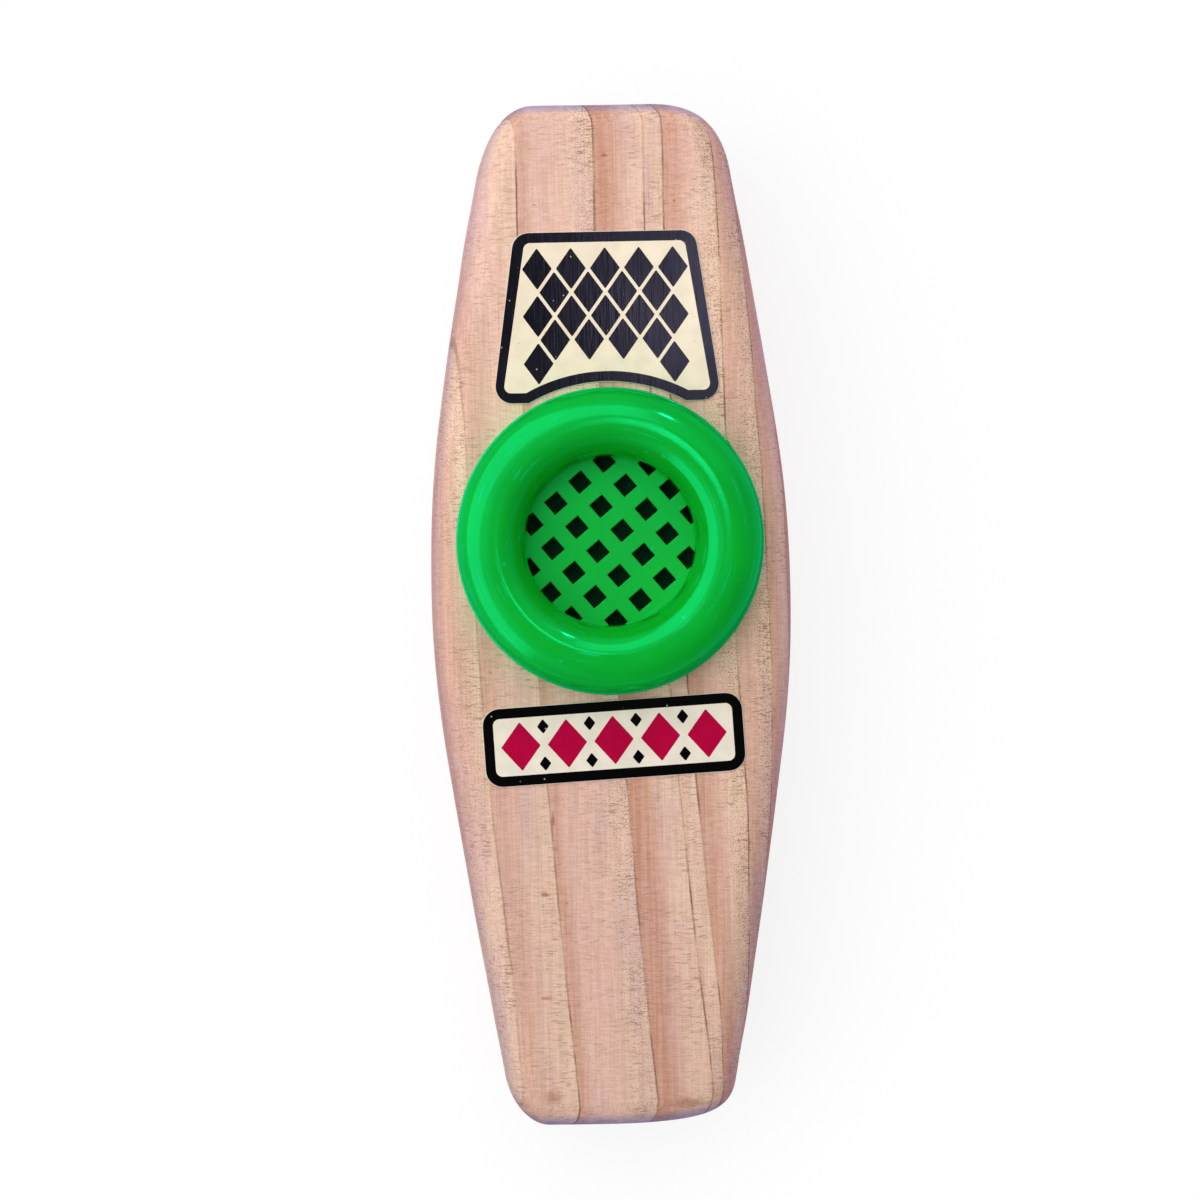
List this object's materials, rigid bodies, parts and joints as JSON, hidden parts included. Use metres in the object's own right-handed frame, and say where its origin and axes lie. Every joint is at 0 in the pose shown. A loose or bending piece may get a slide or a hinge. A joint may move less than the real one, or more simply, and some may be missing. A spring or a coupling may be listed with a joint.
{
  "type": "kazoo",
  "caption": "Flat wooden kazoo: a tapering block with rounded edges, an airway from end to end, and a screw-on plastic ring over a lattice grille and a buzzing membrane.",
  "frame": {"origin": "middle of the flat back face, on that face", "axes": "+Z comes out of the front face, which carries the ring; +Y runs along the body towards the outlet end, and the mouth end is at -Y; +X is to the right, seen from the front with the outlet end up"},
  "size_m": [0.046, 0.13, 0.0295],
  "materials": {
    "pine": "sanded bare softwood with pink-brown growth rings",
    "green_plastic": "glossy moulded plastic, bright green",
    "black_rubber": "soft black sealing rubber",
    "membrane": "thin smoke-dark film, slightly wrinkled",
    "black_plastic": "black moulded plastic",
    "sticker": "glossy printed vinyl in black, cream and crimson"
  },
  "bodies": {
    "kazoo_body": {"wooden_body": "pine", "cap_socket": "green_plastic", "sealing_washer": "black_rubber", "membrane_film": "membrane", "membrane_hoop": "black_plastic", "upper_sticker": "sticker", "lower_sticker": "sticker"},
    "grille": {"grille_disc": "green_plastic"},
    "cap": {"screw_cap": "green_plastic"}
  },
  "joints": [
    {"name": "cap_lift", "type": "slide", "parent": "kazoo_body", "child": "grille", "axis": [0, 0, 1], "range_m": [0, 0.008]},
    {"name": "cap_turn", "type": "hinge", "parent": "grille", "child": "cap", "pos_m": [0, 0.0093, 0.0229], "axis": [0, 0, 1], "range_deg": [0, 1440]}
  ],
  "couplings": [
    {"joint": "cap_lift", "follows": "cap_turn", "m_per_rad": 0.0003183}
  ]
}
